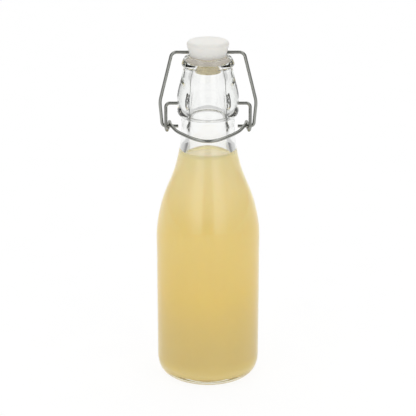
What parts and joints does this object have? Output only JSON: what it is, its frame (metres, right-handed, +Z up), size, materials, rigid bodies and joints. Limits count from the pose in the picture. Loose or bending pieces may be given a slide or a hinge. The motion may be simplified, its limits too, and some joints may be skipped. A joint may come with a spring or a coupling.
{
  "type": "swing-top bottle",
  "caption": "Small clear glass swing-top bottle with a plastic stopper, rubber gasket and sprung wire closure.",
  "frame": {"origin": "centre of the ring that the bottle stands on, at the surface it stands on", "axes": "+Z up the bottle's axis, front with the lever's thumb loop at -Y, lever and bail pivots along X"},
  "size_m": [0.0584, 0.0584, 0.195],
  "materials": {
    "clear_glass": "clear, smooth",
    "white_plastic": "moulded, soft gloss",
    "grey_rubber": "matt",
    "plated_wire": "zinc plated, drawn"
  },
  "bodies": {
    "bottle": {"glass_bottle": "clear_glass"},
    "lever": {"lever_wire": "plated_wire"},
    "bail": {"bail_wire": "plated_wire"},
    "stopper": {"stopper": "white_plastic", "gasket": "grey_rubber"}
  },
  "joints": [
    {"name": "lever_swing", "type": "hinge", "parent": "bottle", "child": "lever", "pos_m": [0, 0, 0.1592], "axis": [-1, 0, 0], "range_deg": [0, 92]},
    {"name": "eye_turn", "type": "hinge", "parent": "lever", "child": "bail", "pos_m": [0, 0.001, 0.1459], "axis": [-1, 0, 0], "range_deg": [-64, 0]},
    {"name": "stopper_tilt", "type": "hinge", "parent": "bail", "child": "stopper", "pos_m": [0, 0, 0.1878], "axis": [-1, 0, 0], "range_deg": [-22, 0]}
  ],
  "couplings": [
    {"joint": "eye_turn", "follows": "lever_swing", "ratio": -0.69},
    {"joint": "stopper_tilt", "follows": "lever_swing", "ratio": -0.19}
  ]
}
